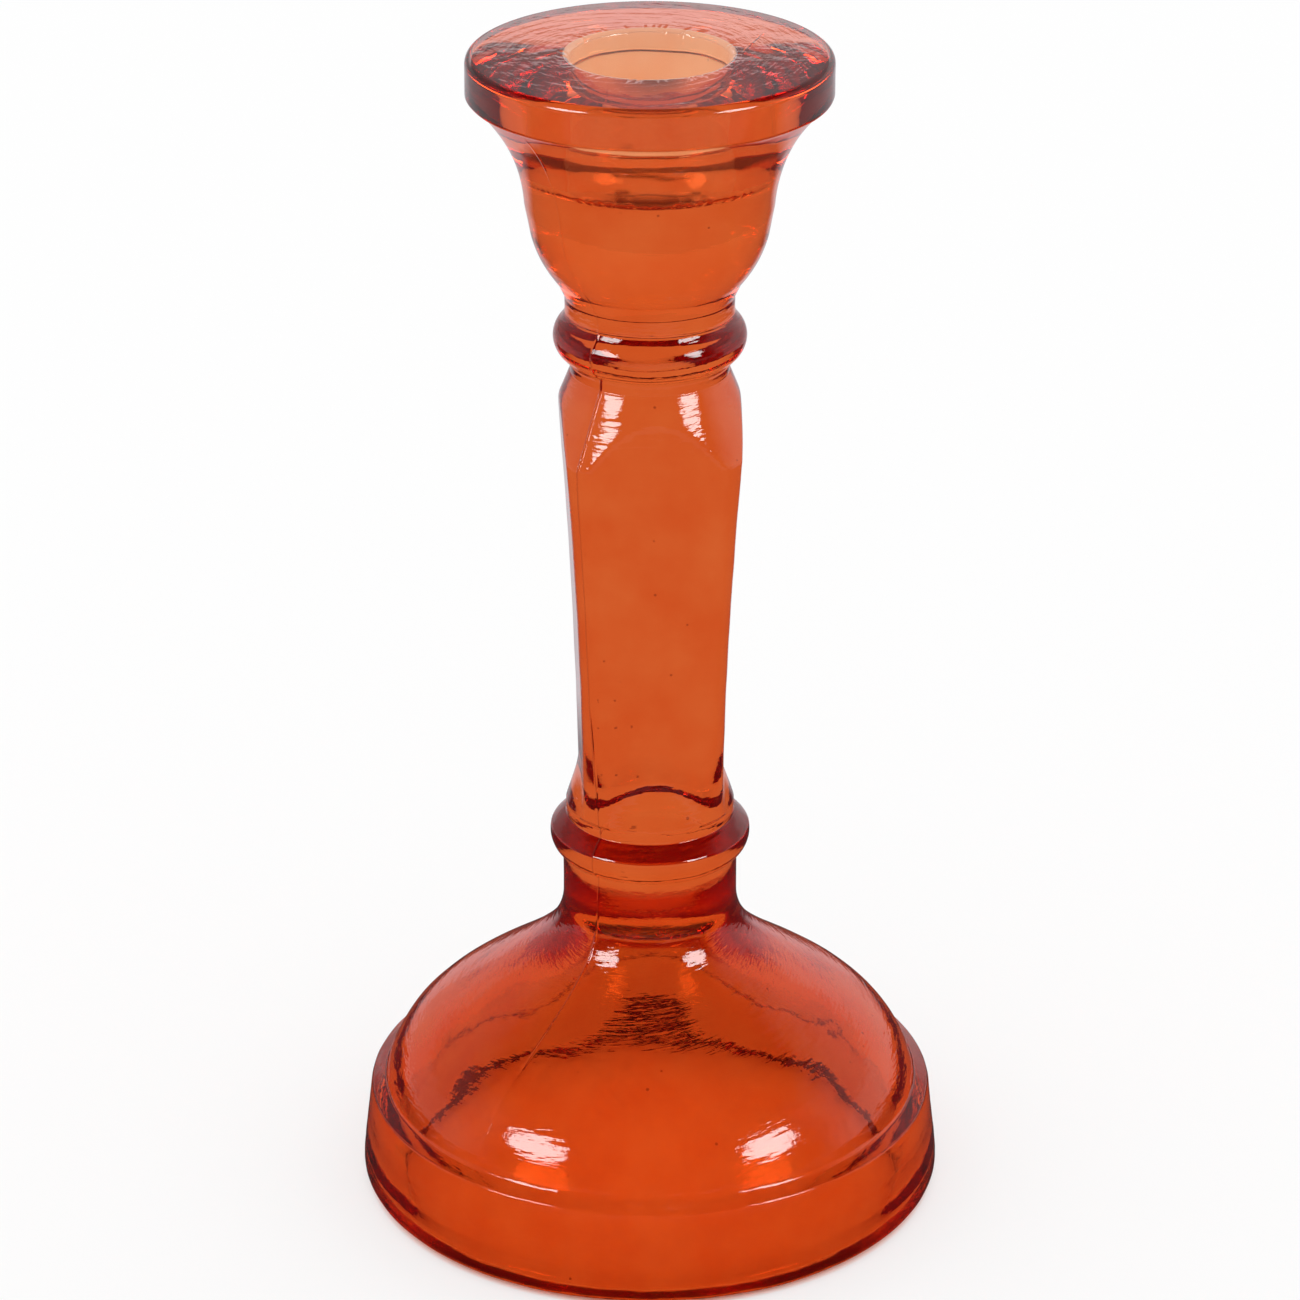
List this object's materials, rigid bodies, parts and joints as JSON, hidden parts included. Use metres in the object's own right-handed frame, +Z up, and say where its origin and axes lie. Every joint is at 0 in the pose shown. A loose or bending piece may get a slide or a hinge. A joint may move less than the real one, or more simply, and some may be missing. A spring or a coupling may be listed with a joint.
{
  "type": "glass candlestick",
  "caption": "Pressed orange glass candlestick: flanged socket on a bell cup, ring knops, square tapered column with rounded corners, and a hollow domed foot on a banded base.",
  "frame": {"origin": "centre of the circle on which the foot stands", "axes": "+Z up along the axis of the stick and out of the candle socket; the flat faces of the column look along X and Y, and -Y is the front"},
  "size_m": [0.0866, 0.0866, 0.175],
  "materials": {
    "orange_glass": "clear pressed glass under a thin transparent orange coat, glossy, with faint mould lines"
  },
  "bodies": {
    "root": {"drip_rim": "orange_glass", "candle_cup": "orange_glass", "upper_knop": "orange_glass", "column": "orange_glass", "lower_knop": "orange_glass", "foot_neck": "orange_glass", "foot_dome": "orange_glass", "foot_band": "orange_glass"}
  },
  "joints": []
}
